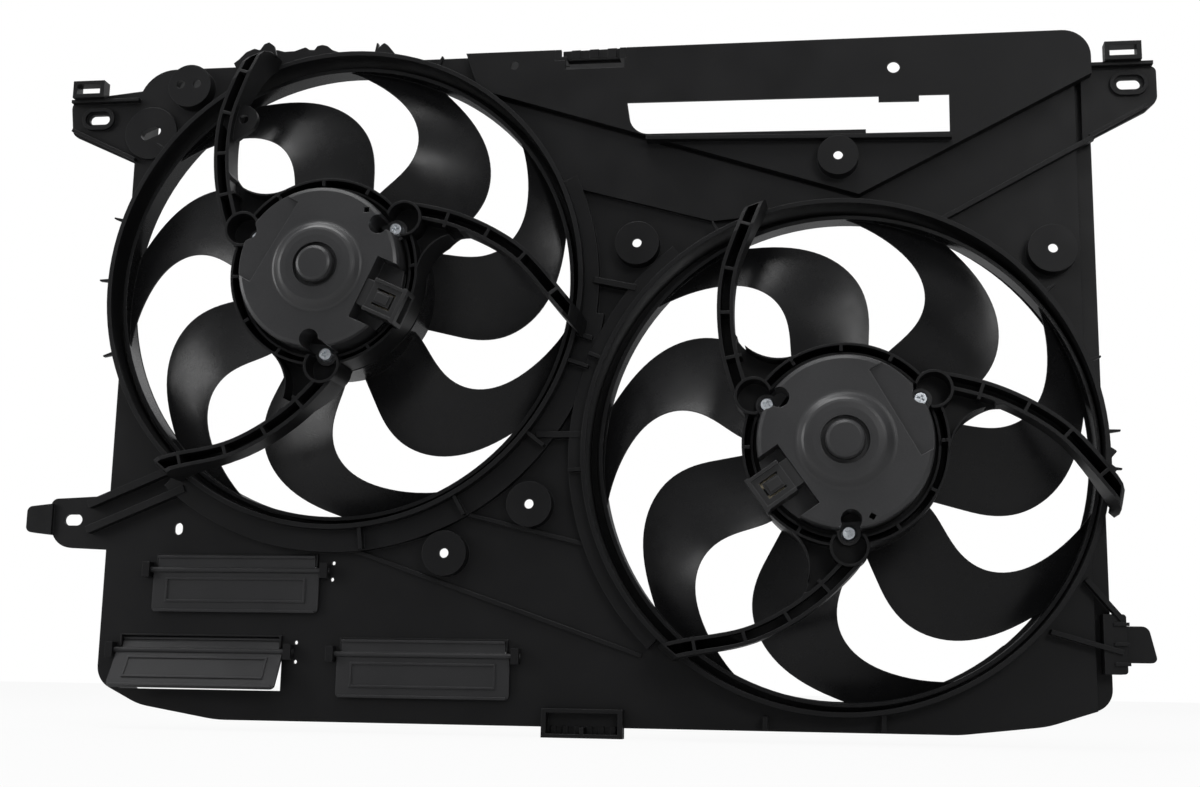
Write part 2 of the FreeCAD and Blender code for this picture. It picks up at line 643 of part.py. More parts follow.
def make_shaft():
    body = revolve([(0, cover_face + 10 - bearing_width + 0.5), (shaft_radius - 0.5, cover_face + 10 - bearing_width + 0.5),
                    (shaft_radius, cover_face + 10 - bearing_width + 1), (shaft_radius, hub_back + 4),
                    (shaft_radius - 0.5, hub_back + 4), (shaft_radius - 0.5, shaft_tip - 0.7),
                    (shaft_radius - 1.2, shaft_tip), (0, shaft_tip)])
    return body


def make_armature():
    """Slotted core, the coils in its slots, and the commutator."""
    slots = 12
    outer = can_radius - can_wall - 6 - 0.8
    core = ring((0, 0), outer, shaft_radius, -15, 7)
    coils = []
    for k in range(slots):
        a = 360.0 / slots * k
        core = core.cut([disc(polar(outer - 8, a), 4.2, -16, 8),
                         bar(polar(outer - 8, a), polar(outer + 2, a), 2.6, -16, 8)])
        coils.append(disc(polar(outer - 8, a), 4.1, -15, 7))
    turns_rear = ring((0, 0), outer - 3, shaft_radius + 9, -21, -15)
    turns_front = ring((0, 0), outer - 3, bearing_radius + 3.5, 7, can_end - can_wall - 1.5)
    coils = Part.makeCompound([fused([turns_rear, turns_front] + coils)])
    comm = ring((0, 0), 12, shaft_radius, -38, -22)
    cuts = [bar(polar(9, 360.0 / slots * (k + 0.5)), polar(14, 360.0 / slots * (k + 0.5)), 0.8, -39, -24)
            for k in range(slots)]
    comm = comm.cut(cuts)
    return core, coils, comm


def make_brush_gear():
    card = ring((0, 0), 33.5, 14.5, ear_face + 0.5, ear_face + 2.5)
    brushes, springs, guides = [], [], []
    for a in (55, 235):
        hole = turned(box(12 + run_gap, 21, -35, -29, -4, 4), a)
        brushes.append(hole)
        guide = turned(box(13.5, 32, -36.5, -27, -5.5, 5.5), a).cut(turned(box(12, 30.5, -35.05, -28.95, -4.05, 4.05), a))
        guides.append(guide)
        helix = Part.makeHelix(1.68, 8.4, 2.2)
        loop = Part.makeCircle(0.35, V(2.2, 0, 0), Y_AXIS)
        coil = Part.Wire(helix).makePipeShell([Part.Wire(loop)], True, True)
        coil.rotate(V(0, 0, 0), Y_AXIS, 90)
        coil.translate(V(21.4, -32, 0))
        springs.append(turned(coil, a))
    return fused([card] + guides), Part.makeCompound(brushes), Part.makeCompound(springs)


def make_bearing(y0):
    inner = ring((0, 0), 6.2, shaft_radius + run_gap, y0, y0 + bearing_width)
    outer = ring((0, 0), bearing_radius, 8.6, y0, y0 + bearing_width)
    balls = []
    for k in range(7):
        c = polar(7.4, 360.0 / 7 * k)
        balls.append(Part.makeSphere(1.6, V(c[0], y0 + bearing_width / 2, c[1])))
    groove = Part.makeTorus(7.4, 1.62, V(0, y0 + bearing_width / 2, 0), Y_AXIS)
    return Part.makeCompound([inner.cut(groove), outer.cut(groove)] + balls)


def conn_place(shape):
    s = turned(shape, conn_dir)
    s.translate(V(conn_at[0], 0, conn_at[1]))
    return s


def make_connector():
    """Two-way connector housing with a latch tongue, open at its outer end."""
    f = cover_face
    body = box(6.2, 29, f - 1, f + 15, -11, 11)
    body = body.cut(box(11, 31, f + 3, f + 13, -9, 9))
    body = body.fuse(box(0, 6.3, f + 1, f + 13, -9, 9))
    rim = box(26.5, 29, f - 2.5, f + 15.5, -11.8, 11.8).cut(box(20, 31, f + 3, f + 13, -9, 9))
    body = body.fuse([rim, box(6.2, 27, f - 2.5, f, -11, -8.8), box(6.2, 27, f - 2.5, f, 8.8, 11)])
    slots = [box(10, 23, f - 4, f + 3.5, -5.6, -4.2), box(10, 23, f - 4, f + 3.5, 4.2, 5.6),
             box(21.6, 23, f - 4, f + 3.5, -5.6, 5.6)]
    body = body.cut(slots)
    body = body.fuse([box(11, 20, f - 2.2, f - 0.8, -3, 3)])
    pins = [box(7, 24, f + 8.7, f + 9.5, -6.4, -2.4), box(7, 24, f + 8.7, f + 9.5, 2.4, 6.4)]
    body = body.cut(pins)
    return conn_place(body.removeSplitter()), conn_place(Part.makeCompound(pins))


def make_screws():
    out = []
    for k in range(3):
        c = polar(screw_circle, 30 + 120 * k)
        head = revolve([(0, ear_face - 3.6), (screw_head - 1, ear_face - 3.6), (screw_head, ear_face - 2.2),
                        (screw_head, ear_face), (screw_shank, ear_face), (screw_shank, ring_back + 1),
                        (screw_shank - 1, ring_back + 2), (0, ring_back + 2)], c)
        cross = fused([box(c[0] - 2.2, c[0] + 2.2, ear_face - 4, ear_face - 2, c[1] - 0.6, c[1] + 0.6),
                       box(c[0] - 0.6, c[0] + 0.6, ear_face - 4, ear_face - 2, c[1] - 2.2, c[1] + 2.2)])
        out.append(head.cut(cross))
    return Part.makeCompound(out)


def make_nut():
    pts = [polar(6.6, 60 * k) for k in range(6)]
    nut = plate(pts, hub_back + 4, hub_back + 8)
    return nut.cut(disc((0, 0), shaft_radius - 0.5, 0, 60))


# Ram air flaps hang from a pin line near their top edge
def make_flap(spot, turn):
    x, z = spot
    y_pin = panel_face - flap_offset
    y0 = y_pin
    y1 = y0 + flap_thick
    half = flap_width / 2
    body = [plate([(x - half, z + 1), (x + half, z + 1), (x + half, z - flap_drop, 3), (x - half, z - flap_drop, 3)],
                  y0, y1),
            box(x - half + 3, x + half - 3, y0, y1, z, z + flap_rise),
            Part.makeCylinder(flap_pin, flap_width + 14, V(x - half - 7, y_pin, z), V(1, 0, 0)),
            box(x - half + 3, x + half - 3, y0 - 1.2, y0 + 0.5, z + flap_rise - 1.6, z + flap_rise),
            box(x - half + 2, x + half - 2, y0 - 1.2, y0 + 0.5, z - flap_drop, z - flap_drop + 1.6)]
    body = fused(body)
    frame = box(x - 48, x + 48, y0 - 0.8, y0 + 0.3, z - 21, z - 5)
    frame = frame.cut(box(x - 46.6, x + 46.6, y0 - 1, y0 + 0.5, z - 19.6, z - 6.4))
    body = fused([body, frame])
    body.rotate(V(x, y_pin, z), V(1, 0, 0), -turn)
    return body


def make_flap_clips():
    out = []
    y_pin = panel_face - flap_offset
    for x, z in flap_spots.values():
        for side in (-1, 1):
            xc = x + side * (flap_width / 2 + 4)
            lug = box(xc - 2.5, xc + 2.5, y_pin - 4.4, panel_face, z - 5, z + 5)
            lug = lug.cut(Part.makeCylinder(flap_pin + run_gap, 20, V(xc - 10, y_pin, z), V(1, 0, 0)))
            out.append(lug)
    return Part.makeCompound(out)


# Small moulded clips along the edges
def make_edge_clips():
    hook = fused([box(-23.3, -15, 6, panel_back, 211.5, 214), box(-23.3, -19, 6, 9, 211.5, 219),
                  box(-15, 25.2, panel_face, panel_back + 8, 211.5, 213.5),
                  box(21, 25.2, 6, panel_back, 211.5, 219)])
    return Part.makeCompound([hook])


def make_lower_bracket():
    face = panel_face
    parts = [box(-22, 29.5, face - 10, face, -222, -219.5), box(-22, 29.5, face - 10, face, -237.5, -235),
             box(-22, -19, face - 10, face, -237.5, -219.5), box(26.5, 29.5, face - 10, face, -237.5, -219.5),
             box(-22, 29.5, face - 2.5, face, -231, -219.5), box(2.5, 5, face - 10, face, -237.5, -231)]
    return fused(parts)


def make_ear_clips():
    out = []
    for x, z in ((-354.5, 203.5), (350.5, 203.5)):
        loop = fused([box(x - 14, x + 9, 5, 14, z - 6.3, z - 3.5), box(x - 14, x - 11, 5, 14, z - 4, z + 6),
                      box(x + 6, x + 9, 5, 14, z - 4, z + 6), box(x - 14, x + 9, 5, 14, z + 3.5, z + 6)])
        out.append(loop)
    return Part.makeCompound(out)


panel = make_panel()
left_barrel = make_barrel(left_centre, ((0, 359.99, barrel_lip),), left_tips)
right_barrel = make_barrel(right_centre, ((95, 190, barrel_lip + 1.1), (189, 310, barrel_lip + 3.2)), right_tips)
carrier = make_carrier()

left_carrier = moved(turned(carrier, left_motor_turn), left_axis)
right_carrier = moved(turned(carrier, right_motor_turn), right_axis)
# Wire eye on the left carrier's upper strut
eye_at = polar(eye_circle, eye_angle, left_axis)
eye_root = polar(eye_circle - 0.8, eye_angle + 6.3, left_axis)
eye = fused([disc(eye_at, 9.5, eye_front, eye_front + 4), bar(eye_at, eye_root, 19, eye_front, eye_front + 4)])
left_carrier = fused([left_carrier, eye]).cut(disc(eye_at, 3.2, -60, 10))
barrels = [disc(c, barrel_outer, 0, barrel_end) for c in (left_centre, right_centre)]
left_carrier = largest(left_carrier.cut(barrels + [left_barrel, right_barrel, panel]))
right_carrier = largest(right_carrier.cut(barrels + [left_barrel, right_barrel, panel]))

save("shroud_panel", panel)
save("left_fan_barrel", left_barrel)
save("right_fan_barrel", right_barrel)
save("left_motor_carrier", left_carrier)
save("right_motor_carrier", right_carrier)

core, coils, comm = make_armature()
card, brushes, springs = make_brush_gear()
housing, terminals = make_connector()
pieces = {
    "motor_rear_cover": make_cover(),
    "motor_can": make_can(),
    "motor_magnets": make_magnets(),
    "motor_shaft": make_shaft(),
    "armature_core": core,
    "armature_windings": coils,
    "commutator": comm,
    "brush_card": card,
    "brushes": brushes,
    "brush_springs": springs,
    "rear_bearing": make_bearing(cover_face + 10 - bearing_width),
    "front_bearing": make_bearing(can_end - 1.2 - bearing_width),
    "motor_connector": housing,
    "connector_terminals": terminals,
    "motor_screws": make_screws(),
    "fan_nut": make_nut(),
}
for side, centre, turn, blades in (("left", left_axis, left_motor_turn, left_blade_turn),
                                   ("right", right_axis, right_motor_turn, right_blade_turn)):
    for name, shape in pieces.items():
        save(side + "_" + name, moved(turned(shape, turn), centre))
    save(side + "_fan_wheel", moved(make_fan(blades), centre))

for name, spot in flap_spots.items():
    save("ram_air_flap_" + name, make_flap(spot, flap_rest_turn if name == "lower_left" else 0))
save("flap_hinge_clips", make_flap_clips())
save("upper_edge_clip", make_edge_clips())
save("lower_bracket", make_lower_bracket())
save("ear_wire_clips", make_ear_clips())
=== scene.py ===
import json
import math

import bmesh
import bpy
from mathutils import Matrix, Vector


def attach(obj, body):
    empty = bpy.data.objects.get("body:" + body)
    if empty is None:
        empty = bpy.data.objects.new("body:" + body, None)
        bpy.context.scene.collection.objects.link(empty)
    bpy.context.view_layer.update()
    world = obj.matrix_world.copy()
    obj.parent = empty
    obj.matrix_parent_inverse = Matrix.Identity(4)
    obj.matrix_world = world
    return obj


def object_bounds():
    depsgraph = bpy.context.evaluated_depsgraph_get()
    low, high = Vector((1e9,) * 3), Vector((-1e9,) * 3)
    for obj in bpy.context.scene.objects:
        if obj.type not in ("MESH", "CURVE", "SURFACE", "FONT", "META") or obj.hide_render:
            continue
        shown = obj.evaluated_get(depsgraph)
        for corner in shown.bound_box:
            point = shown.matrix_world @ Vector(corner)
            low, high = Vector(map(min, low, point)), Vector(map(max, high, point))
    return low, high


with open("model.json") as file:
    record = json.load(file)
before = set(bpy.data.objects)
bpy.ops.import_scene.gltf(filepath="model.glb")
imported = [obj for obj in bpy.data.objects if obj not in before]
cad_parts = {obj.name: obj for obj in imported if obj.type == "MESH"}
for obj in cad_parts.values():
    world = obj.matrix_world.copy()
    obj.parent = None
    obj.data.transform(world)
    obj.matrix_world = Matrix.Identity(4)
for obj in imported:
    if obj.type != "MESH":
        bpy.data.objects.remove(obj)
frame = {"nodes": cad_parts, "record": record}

cad_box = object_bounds()
scene = bpy.context.scene
scene.view_settings.view_transform = "Standard"

# Camera at the photograph's viewing angle: lens in millimetres, place in metres
LENS = 47.91
SENSOR_WIDTH = 36.0
CLIP_RANGE = (0.01, 100.0)
EYE = (0.157968, -1.016268, -0.390339)
# Its right, up and back directions by columns, in world X, Y and Z by rows
AXES = ((0.989885, 0.008752, 0.141602),
        (0.140810, -0.182492, -0.973072),
        (0.017325, 0.983168, -0.181879))

# Small moulded trim of the shroud, in the CAD model's millimetres and in degrees
ORIGIN = (0.3, 14.0, 183.4)
LEFT_CENTRE = (-164.8, 57.0)
RIGHT_CENTRE = (164.8, -57.0)
TRIM_EDGE = 0.25
STRIP_EDGE = 0.2
BEVEL_ANGLE = 40

# Lips behind the fan bands: stops are pairs of angle and inner radius
LIP_ROOT = 162.6
LIP_DEPTH = (28.4, 29.6)
LIP_STEP = 3.0
LIPS = {
    "rear_lip_left": (LEFT_CENTRE, ((0, 155.6), (360, 155.6))),
    "rear_lip_right": (RIGHT_CENTRE, ((-52, 155.6), (122, 155.6), (132, 157.6))),
    "rear_lip_right_side": (RIGHT_CENTRE, ((150, 157.6), (192, 155.4))),
}

# Ledges on the outside of the rims and on one leg: stops are pairs of angle and outer radius
RIM_ROOT = 163.4
RIM_DEPTH = (0.4, 2.8)
LEG_ROOT = 165.0
LEG_DEPTH = (-13.5, -10.5)
LEDGE_STEP = 0.3
RIM_LEDGES = {
    "rim_ledge": (LEFT_CENTRE, ((93.0, 164.6), (94.7, 166.8), (95.8, 170.2), (97.0, 171.6), (98.2, 171.4),
                                (99.0, 168.9), (100.2, 169.7), (101.0, 172.2), (101.8, 172.0), (103.7, 171.4),
                                (106.1, 173.1), (107.6, 176.2), (108.4, 176.2))),
    "rim_fin": (LEFT_CENTRE, ((79.1, 164.6), (81.3, 170.1), (82.3, 171.6), (83.1, 168.9), (84.0, 164.6))),
    "rim_teeth": (RIGHT_CENTRE, ((354.0, 165.2), (354.8, 166.6), (355.9, 168.8), (356.7, 165.2),
                                 (358.2, 165.0), (359.6, 168.4), (360.4, 165.0))),
}
LEG_BUMPS = ((107.0, 172.6), (107.9, 176.3), (109.1, 176.1), (110.4, 173.1), (111.5, 175.8), (113.5, 175.8),
             (115.6, 173.3), (117.1, 172.4))

# Seals behind the flaps: a curved hood over each pin, with a cheek at each end of the window
FLAP_PINS = {"upper": (-230.0, -134.0), "lower_left": (-252.0, -186.8), "lower_right": (-101.5, -187.6)}
FLAP_HALF = 57.0
PIN_Y = 11.2
SEAL_STATIONS = 13
HOOD_INSET = 1.6
HOOD_RADII = (9.95, 11.3)
HOOD_START, HOOD_STEP = 14, 4
CHEEK_INSET = (1.5, 2.8)
CHEEK_RADII = (2.4, 10.4)
CHEEK_START, CHEEK_STEP = 3, 5

# Plates with upright ridges: their corners, the number and depth of the ridges, and the fall of the top edge
RIDGE_GAP = 0.15
RIDGE_CHAMFER = 0.6
RIDGED_PLATES = {
    "bracket_ridges": dict(x=(-21.0, 28.6), y=(11.9, 13.8), z=(-236.2, -229.5),
                           ridges=6, depth=1.2, fall=0.0),
    "edge_clip_bar": dict(x=(-18.4, 24.6), y=(9.5, 15.8), z=(213.2, 220.6),
                          ridges=3, depth=1.0, fall=0.02),
}

# Noise patterns of the materials: cycles per metre, octaves and roughness
CLOUD = (9.0, 4.0, 0.55)
FLOW = (38.0, 3.0, 0.5)
METAL_STAIN = (60.0, 3.0, 0.5)
GRAIN = (3.0, 0.6)
# Parts of a noise's range that are stretched to a full swing
SPAN = (0.3, 0.7)
CLOUD_SPAN = (0.35, 0.65)
RUB_SPAN = (0.35, 0.62)
# Cosine between the rounded and the flat normal, from a face to an edge
EDGE_SPAN = (0.995, 0.80)
EDGE_SAMPLES = 4
# Height of a face's normal, from free of dust to dusty
DUST_SPAN = (0.3, 1.0)
DUST_COLOUR = (0.16, 0.155, 0.15)
LEAST_DUST = 0.3
LEAST_RUB = 0.35
RUBBED_GAIN, RUBBED_LIFT = 3.0, 0.02
SPECK_SHARE = 0.6
FINE_GLOSS_SHARE = 0.5
COAT_ROUGHNESS = 0.22
NO_STRETCH = (1.0, 1.0, 1.0)
# Banded metal: waviness of its lines, its stains and their effect on the gloss
WAVE = (("Distortion", 0.4), ("Detail", 1.0))
STAIN_AMOUNT, STAIN_SHADE = 0.35, 0.6
STAIN_GLOSS = 0.08
# Sockets of a colour mix node, which share their names with those of its other kinds
MIX_FACTOR, MIX_A, MIX_B, MIX_RESULT = 0, 6, 7, 2

# Looks of the material slots
MOULDED = dict(grain=1500.0, grain_depth=0.00004)
SATIN_LOOKS = {
    "shroud_plastic": dict(colour=(0.0068, 0.0068, 0.0072), spread=0.14, rough=0.44, rough_spread=0.06,
                           wear=0.5, level=0.17, dust=0.05, **MOULDED),
    "fan_plastic": dict(colour=(0.0070, 0.0070, 0.0074), spread=0.12, rough=0.27, rough_spread=0.05,
                        wear=0.5, level=0.21, stretch=(1.0, 0.4, 1.0), **MOULDED),
    "flap_plastic": dict(colour=(0.022, 0.022, 0.023), spread=0.12, rough=0.45, rough_spread=0.06,
                         wear=0.4, level=0.25, dust=0.05, **MOULDED),
    "connector_plastic": dict(colour=(0.014, 0.014, 0.0145), spread=0.12, rough=0.38, rough_spread=0.05,
                              wear=0.5, level=0.4, **MOULDED),
    "motor_black": dict(colour=(0.027, 0.027, 0.028), spread=0.10, rough=0.36, rough_spread=0.05,
                        grain=700.0, grain_depth=0.00005, wear=0.35, level=0.35, coat=0.06),
    "steel": dict(colour=(0.56, 0.56, 0.57), spread=0.06, rough=0.28, rough_spread=0.06,
                  grain=1400.0, grain_depth=0.00002, wear=0.2, stretch=(1.0, 6.0, 1.0), metallic=1.0),
    "zinc_steel": dict(colour=(0.80, 0.84, 0.88), spread=0.10, rough=0.38, rough_spread=0.08,
                       grain=1100.0, grain_depth=0.00003, wear=0.3, edge=0.0004, metallic=1.0),
    "terminal": dict(colour=(0.72, 0.64, 0.46), spread=0.06, rough=0.3, rough_spread=0.06,
                     grain=1400.0, grain_depth=0.00002, wear=0.2, metallic=1.0),
    "magnet": dict(colour=(0.06, 0.058, 0.058), spread=0.15, rough=0.6, rough_spread=0.06,
                   grain=900.0, grain_depth=0.0001, wear=0.3),
    "brush_card": dict(colour=(0.16, 0.095, 0.045), spread=0.2, rough=0.62, rough_spread=0.06,
                       grain=500.0, grain_depth=0.0001, wear=0.3),
    "carbon": dict(colour=(0.02, 0.02, 0.021), spread=0.2, rough=0.5, rough_spread=0.08,
                   grain=1200.0, grain_depth=0.0001, wear=0.5),
}
BANDED_LOOKS = {
    "core_steel": dict(colour=(0.4, 0.4, 0.42), gap_colour=(0.08, 0.08, 0.085),
                       scale=320.0, rough=0.42, depth=0.0001),
    "copper": dict(colour=(0.70, 0.27, 0.13), gap_colour=(0.2, 0.07, 0.03),
                   scale=260.0, rough=0.34, depth=0.0002),
}

# Studio: a pale floor, a white surround, and soft lamps given by place, size and power
FLOOR_HALF = 15.0
FLOOR_PAINT = (0.50, 0.50, 0.50)
FLOOR_WHITENESS = 0.93
FLOOR_IN_GLOSS = 0.15
SKY_COLOUR = (0.97, 0.98, 1.0)
SKY_HEIGHTS = (-0.05, 0.8)
SKY_STRENGTHS = (0.04, 0.68)
SKY_IN_GLOSS = 0.02
WHITE = (1.0, 1.0, 1.0)
LAMP_AIM = (0.0, 0.0, -0.19)
LAMPS = {
    "key": ((-1.65, -0.80, 0.20), (0.6, 0.9), 10.0),
    "top": ((-0.3, -0.5, 1.5), (1.6, 0.7), 23.0),
    "fill": ((0.88, -1.60, 0.38), (0.5, 0.5), 6.5),
    "rear": ((0.7, 1.9, 1.2), (1.6, 1.0), 7.0),
}


def make_camera():
    data = bpy.data.cameras.new("main_camera")
    data.lens = LENS
    data.sensor_width = SENSOR_WIDTH
    data.clip_start, data.clip_end = CLIP_RANGE
    cam = bpy.data.objects.new("main_camera", data)
    scene.collection.objects.link(cam)
    cam.matrix_world = Matrix.Translation(EYE) @ Matrix(AXES).to_4x4()
    scene.camera = cam


def solid_colour(colour):
    return colour + (1.0,)


class Graph:
    """Short calls that add nodes and links to one shader tree."""

    def __init__(self, tree):
        self.tree = tree
        tree.nodes.clear()

    def node(self, kind, **settings):
        made = self.tree.nodes.new(kind)
        for key, value in settings.items():
            setattr(made, key, value)
        return made

    def link(self, source, target):
        self.tree.links.new(source, target)

    def feed(self, value, socket):
        """Set a number or colour on a socket, or link another node's output to it."""
        if isinstance(value, (int, float)):
            socket.default_value = value
        elif isinstance(value, tuple):
            socket.default_value = solid_colour(value)
        else:
            self.link(value, socket)

    def math(self, operation, a, b):
        made = self.node("ShaderNodeMath", operation=operation)
        self.feed(a, made.inputs[0])
        self.feed(b, made.inputs[1])
        return made.outputs[0]

    def remap(self, value, span, result):
        """Value stretched in line from the span's two ends to the result's."""
        made = self.node("ShaderNodeMapRange")
        self.link(value, made.inputs["Value"])
        for name, number in zip(("From Min", "From Max", "To Min", "To Max"), span + result):
            made.inputs[name].default_value = number
        return made.outputs["Result"]

    def noise(self, vector, scale, octaves, roughness):
        made = self.node("ShaderNodeTexNoise")
        self.link(vector, made.inputs["Vector"])
        for name, number in (("Scale", scale), ("Detail", octaves), ("Roughness", roughness)):
            made.inputs[name].default_value = number
        return made.outputs["Fac"]

    def mix(self, factor, a, b, blend="MIX"):
        made = self.node("ShaderNodeMix", data_type="RGBA", blend_type=blend)
        for value, socket in ((factor, MIX_FACTOR), (a, MIX_A), (b, MIX_B)):
            self.feed(value, made.inputs[socket])
        return made.outputs[MIX_RESULT]

    def grey(self, value):
        made = self.node("ShaderNodeCombineColor")
        for channel in range(3):
            self.link(value, made.inputs[channel])
        return made.outputs[0]

    def along(self, stretch=NO_STRETCH):
        """Object coordinates in metres, stretched along the axes."""
        coordinates = self.node("ShaderNodeTexCoord")
        mapping = self.node("ShaderNodeMapping")
        mapping.inputs["Scale"].default_value = stretch
        self.link(coordinates.outputs["Object"], mapping.inputs["Vector"])
        return mapping.outputs["Vector"]

    def rounded_edge(self, radius):
        """Normal with softened edges, and a mask that is 1 along those edges."""
        bevel = self.node("ShaderNodeBevel", samples=EDGE_SAMPLES)
        bevel.inputs["Radius"].default_value = radius
        geometry = self.node("ShaderNodeNewGeometry")
        cosine = self.node("ShaderNodeVectorMath", operation="DOT_PRODUCT")
        self.link(bevel.outputs["Normal"], cosine.inputs[0])
        self.link(geometry.outputs["Normal"], cosine.inputs[1])
        return bevel.outputs["Normal"], self.remap(cosine.outputs["Value"], EDGE_SPAN, (0.0, 1.0))

    def bump(self, height, depth, normal=None):
        made = self.node("ShaderNodeBump")
        made.inputs["Strength"].default_value = 1.0
        made.inputs["Distance"].default_value = depth
        self.link(height, made.inputs["Height"])
        if normal is not None:
            self.link(normal, made.inputs["Normal"])
        return made.outputs["Normal"]

    def lying_dust(self, flow, amount):
        """Mask of broken dust on faces that look up."""
        geometry = self.node("ShaderNodeNewGeometry")
        parts = self.node("ShaderNodeSeparateXYZ")
        self.link(geometry.outputs["Normal"], parts.inputs[0])
        facing_up = self.remap(parts.outputs["Z"], DUST_SPAN, (0.0, amount))
        return self.math("MULTIPLY", facing_up, self.remap(flow, SPAN, (LEAST_DUST, 1.0)))


def new_material(name):
    material = bpy.data.materials.new(name)
    material.use_nodes = True
    graph = Graph(material.node_tree)
    shader = graph.node("ShaderNodeBsdfPrincipled")
    output = graph.node("ShaderNodeOutputMaterial")
    graph.link(shader.outputs[0], output.inputs[0])
    return material, graph, shader


def shade(colour, factor):
    return tuple(channel * factor for channel in colour)


def satin(name, colour, spread, rough, rough_spread, grain, grain_depth, wear, edge=0.0007,
          stretch=NO_STRETCH, metallic=0.0, level=0.5, coat=0.0, dust=0.0):
    """Satin surface: clouded colour, fine grain, uneven gloss, paler rubbed edges and some dust."""
    material, graph, shader = new_material(name)
    at = graph.along(stretch)
    cloud = graph.noise(graph.along(), *CLOUD)
    fine = graph.noise(at, grain, *GRAIN)
    flow = graph.noise(at, *FLOW)
    normal, edges = graph.rounded_edge(edge)

    deep, pale = shade(colour, 1 - spread), shade(colour, 1 + spread)
    tone = graph.mix(graph.remap(cloud, CLOUD_SPAN, (0.0, 1.0)), deep, pale)
    speck = graph.remap(fine, SPAN, (1 - spread * SPECK_SHARE, 1 + spread * SPECK_SHARE))
    tone = graph.mix(1.0, tone, graph.grey(speck), "MULTIPLY")
    rubbed = graph.math("MULTIPLY", edges, graph.remap(flow, RUB_SPAN, (LEAST_RUB, 1.0)))
    rubbed_colour = tuple(min(channel * RUBBED_GAIN + RUBBED_LIFT, 1.0) for channel in colour)
    tone = graph.mix(graph.math("MULTIPLY", rubbed, wear), tone, rubbed_colour)
    if dust:
        tone = graph.mix(graph.lying_dust(flow, dust), tone, DUST_COLOUR)
    graph.link(tone, shader.inputs["Base Color"])

    broad_gloss = graph.remap(flow, SPAN, (rough - rough_spread, rough + rough_spread))
    fine_gloss = graph.remap(fine, SPAN, (-rough_spread * FINE_GLOSS_SHARE, rough_spread * FINE_GLOSS_SHARE))
    graph.link(graph.math("ADD", broad_gloss, fine_gloss), shader.inputs["Roughness"])
    graph.link(graph.bump(fine, grain_depth, normal), shader.inputs["Normal"])
    shader.inputs["Metallic"].default_value = metallic
    shader.inputs["Specular IOR Level"].default_value = level
    if coat:
        shader.inputs["Coat Weight"].default_value = coat
        shader.inputs["Coat Roughness"].default_value = COAT_ROUGHNESS
    return material


def banded(name, colour, gap_colour, scale, rough, depth):
    """Metal with fine parallel lines along Y, such as stacked sheets or wound wire."""
    material, graph, shader = new_material(name)
    at = graph.along()
    wave = graph.node("ShaderNodeTexWave", wave_type="BANDS", bands_direction="Y")
    graph.link(at, wave.inputs["Vector"])
    wave.inputs["Scale"].default_value = scale
    for socket, number in WAVE:
        wave.inputs[socket].default_value = number
    lines = wave.outputs["Fac"]
    stain = graph.noise(at, *METAL_STAIN)
    tone = graph.mix(lines, gap_colour, colour)
    tone = graph.mix(graph.remap(stain, SPAN, (0.0, STAIN_AMOUNT)), tone, shade(colour, STAIN_SHADE))
    graph.link(tone, shader.inputs["Base Color"])
    gloss = graph.remap(stain, SPAN, (rough - STAIN_GLOSS, rough + STAIN_GLOSS))
    graph.link(gloss, shader.inputs["Roughness"])
    graph.link(graph.bump(lines, depth), shader.inputs["Normal"])
    shader.inputs["Metallic"].default_value = 1.0
    return material


def make_materials():
    """Materials by the record's slot names."""
    made = {slot: satin(slot, **look) for slot, look in SATIN_LOOKS.items()}
    made.update((slot, banded(slot, **look)) for slot, look in BANDED_LOOKS.items())
    return made


def dress_nodes(materials):
    for part in frame["record"]["subparts"]:
        mesh = frame["nodes"][part["node"]].data
        mesh.materials.clear()
        mesh.materials.append(materials[part["material_slot"]])


def metres(x, y, z):
    return ((x - ORIGIN[0]) / 1000, (y - ORIGIN[1]) / 1000, (z - ORIGIN[2]) / 1000)


def skin_faces(loops, points, closed):
    """Quads between neighbouring loops of points, with a cap at both ends unless the skin is closed."""
    faces = []
    spans = loops if closed else loops - 1
    for i in range(spans):
        j = (i + 1) % loops
        for k in range(points):
            m = (k + 1) % points
            faces.append((i * points + k, i * points + m, j * points + m, j * points + k))
    if not closed:
        last = loops * points - 1
        faces.append(tuple(range(points)))
        faces.append(tuple(last - k for k in range(points)))
    return faces


def shroud_piece(name, loops, plastic, edge=TRIM_EDGE, closed=False):
    """Solid skinned over equal loops of points, with rounded edges."""
    mesh = bpy.data.meshes.new(name)
    points = [metres(*p) for loop in loops for p in loop]
    mesh.from_pydata(points, [], skin_faces(len(loops), len(loops[0]), closed))
    form = bmesh.new()
    form.from_mesh(mesh)
    bmesh.ops.recalc_face_normals(form, faces=form.faces)
    form.to_mesh(mesh)
    form.free()
    mesh.materials.append(plastic)
    piece = bpy.data.objects.new(name, mesh)
    scene.collection.objects.link(piece)
    rounding = piece.modifiers.new("rounding", "BEVEL")
    rounding.width = edge / 1000
    rounding.segments = 2
    rounding.limit_method = "ANGLE"
    rounding.angle_limit = math.radians(BEVEL_ANGLE)
    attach(piece, "shroud")


def edge_radius(stops, angle):
    """Radius of a strip's free edge, in line between the two stops round an angle."""
    for (a0, r0), (a1, r1) in zip(stops, stops[1:]):
        if angle <= a1:
            break
    return r0 + (r1 - r0) * (angle - a0) / (a1 - a0)


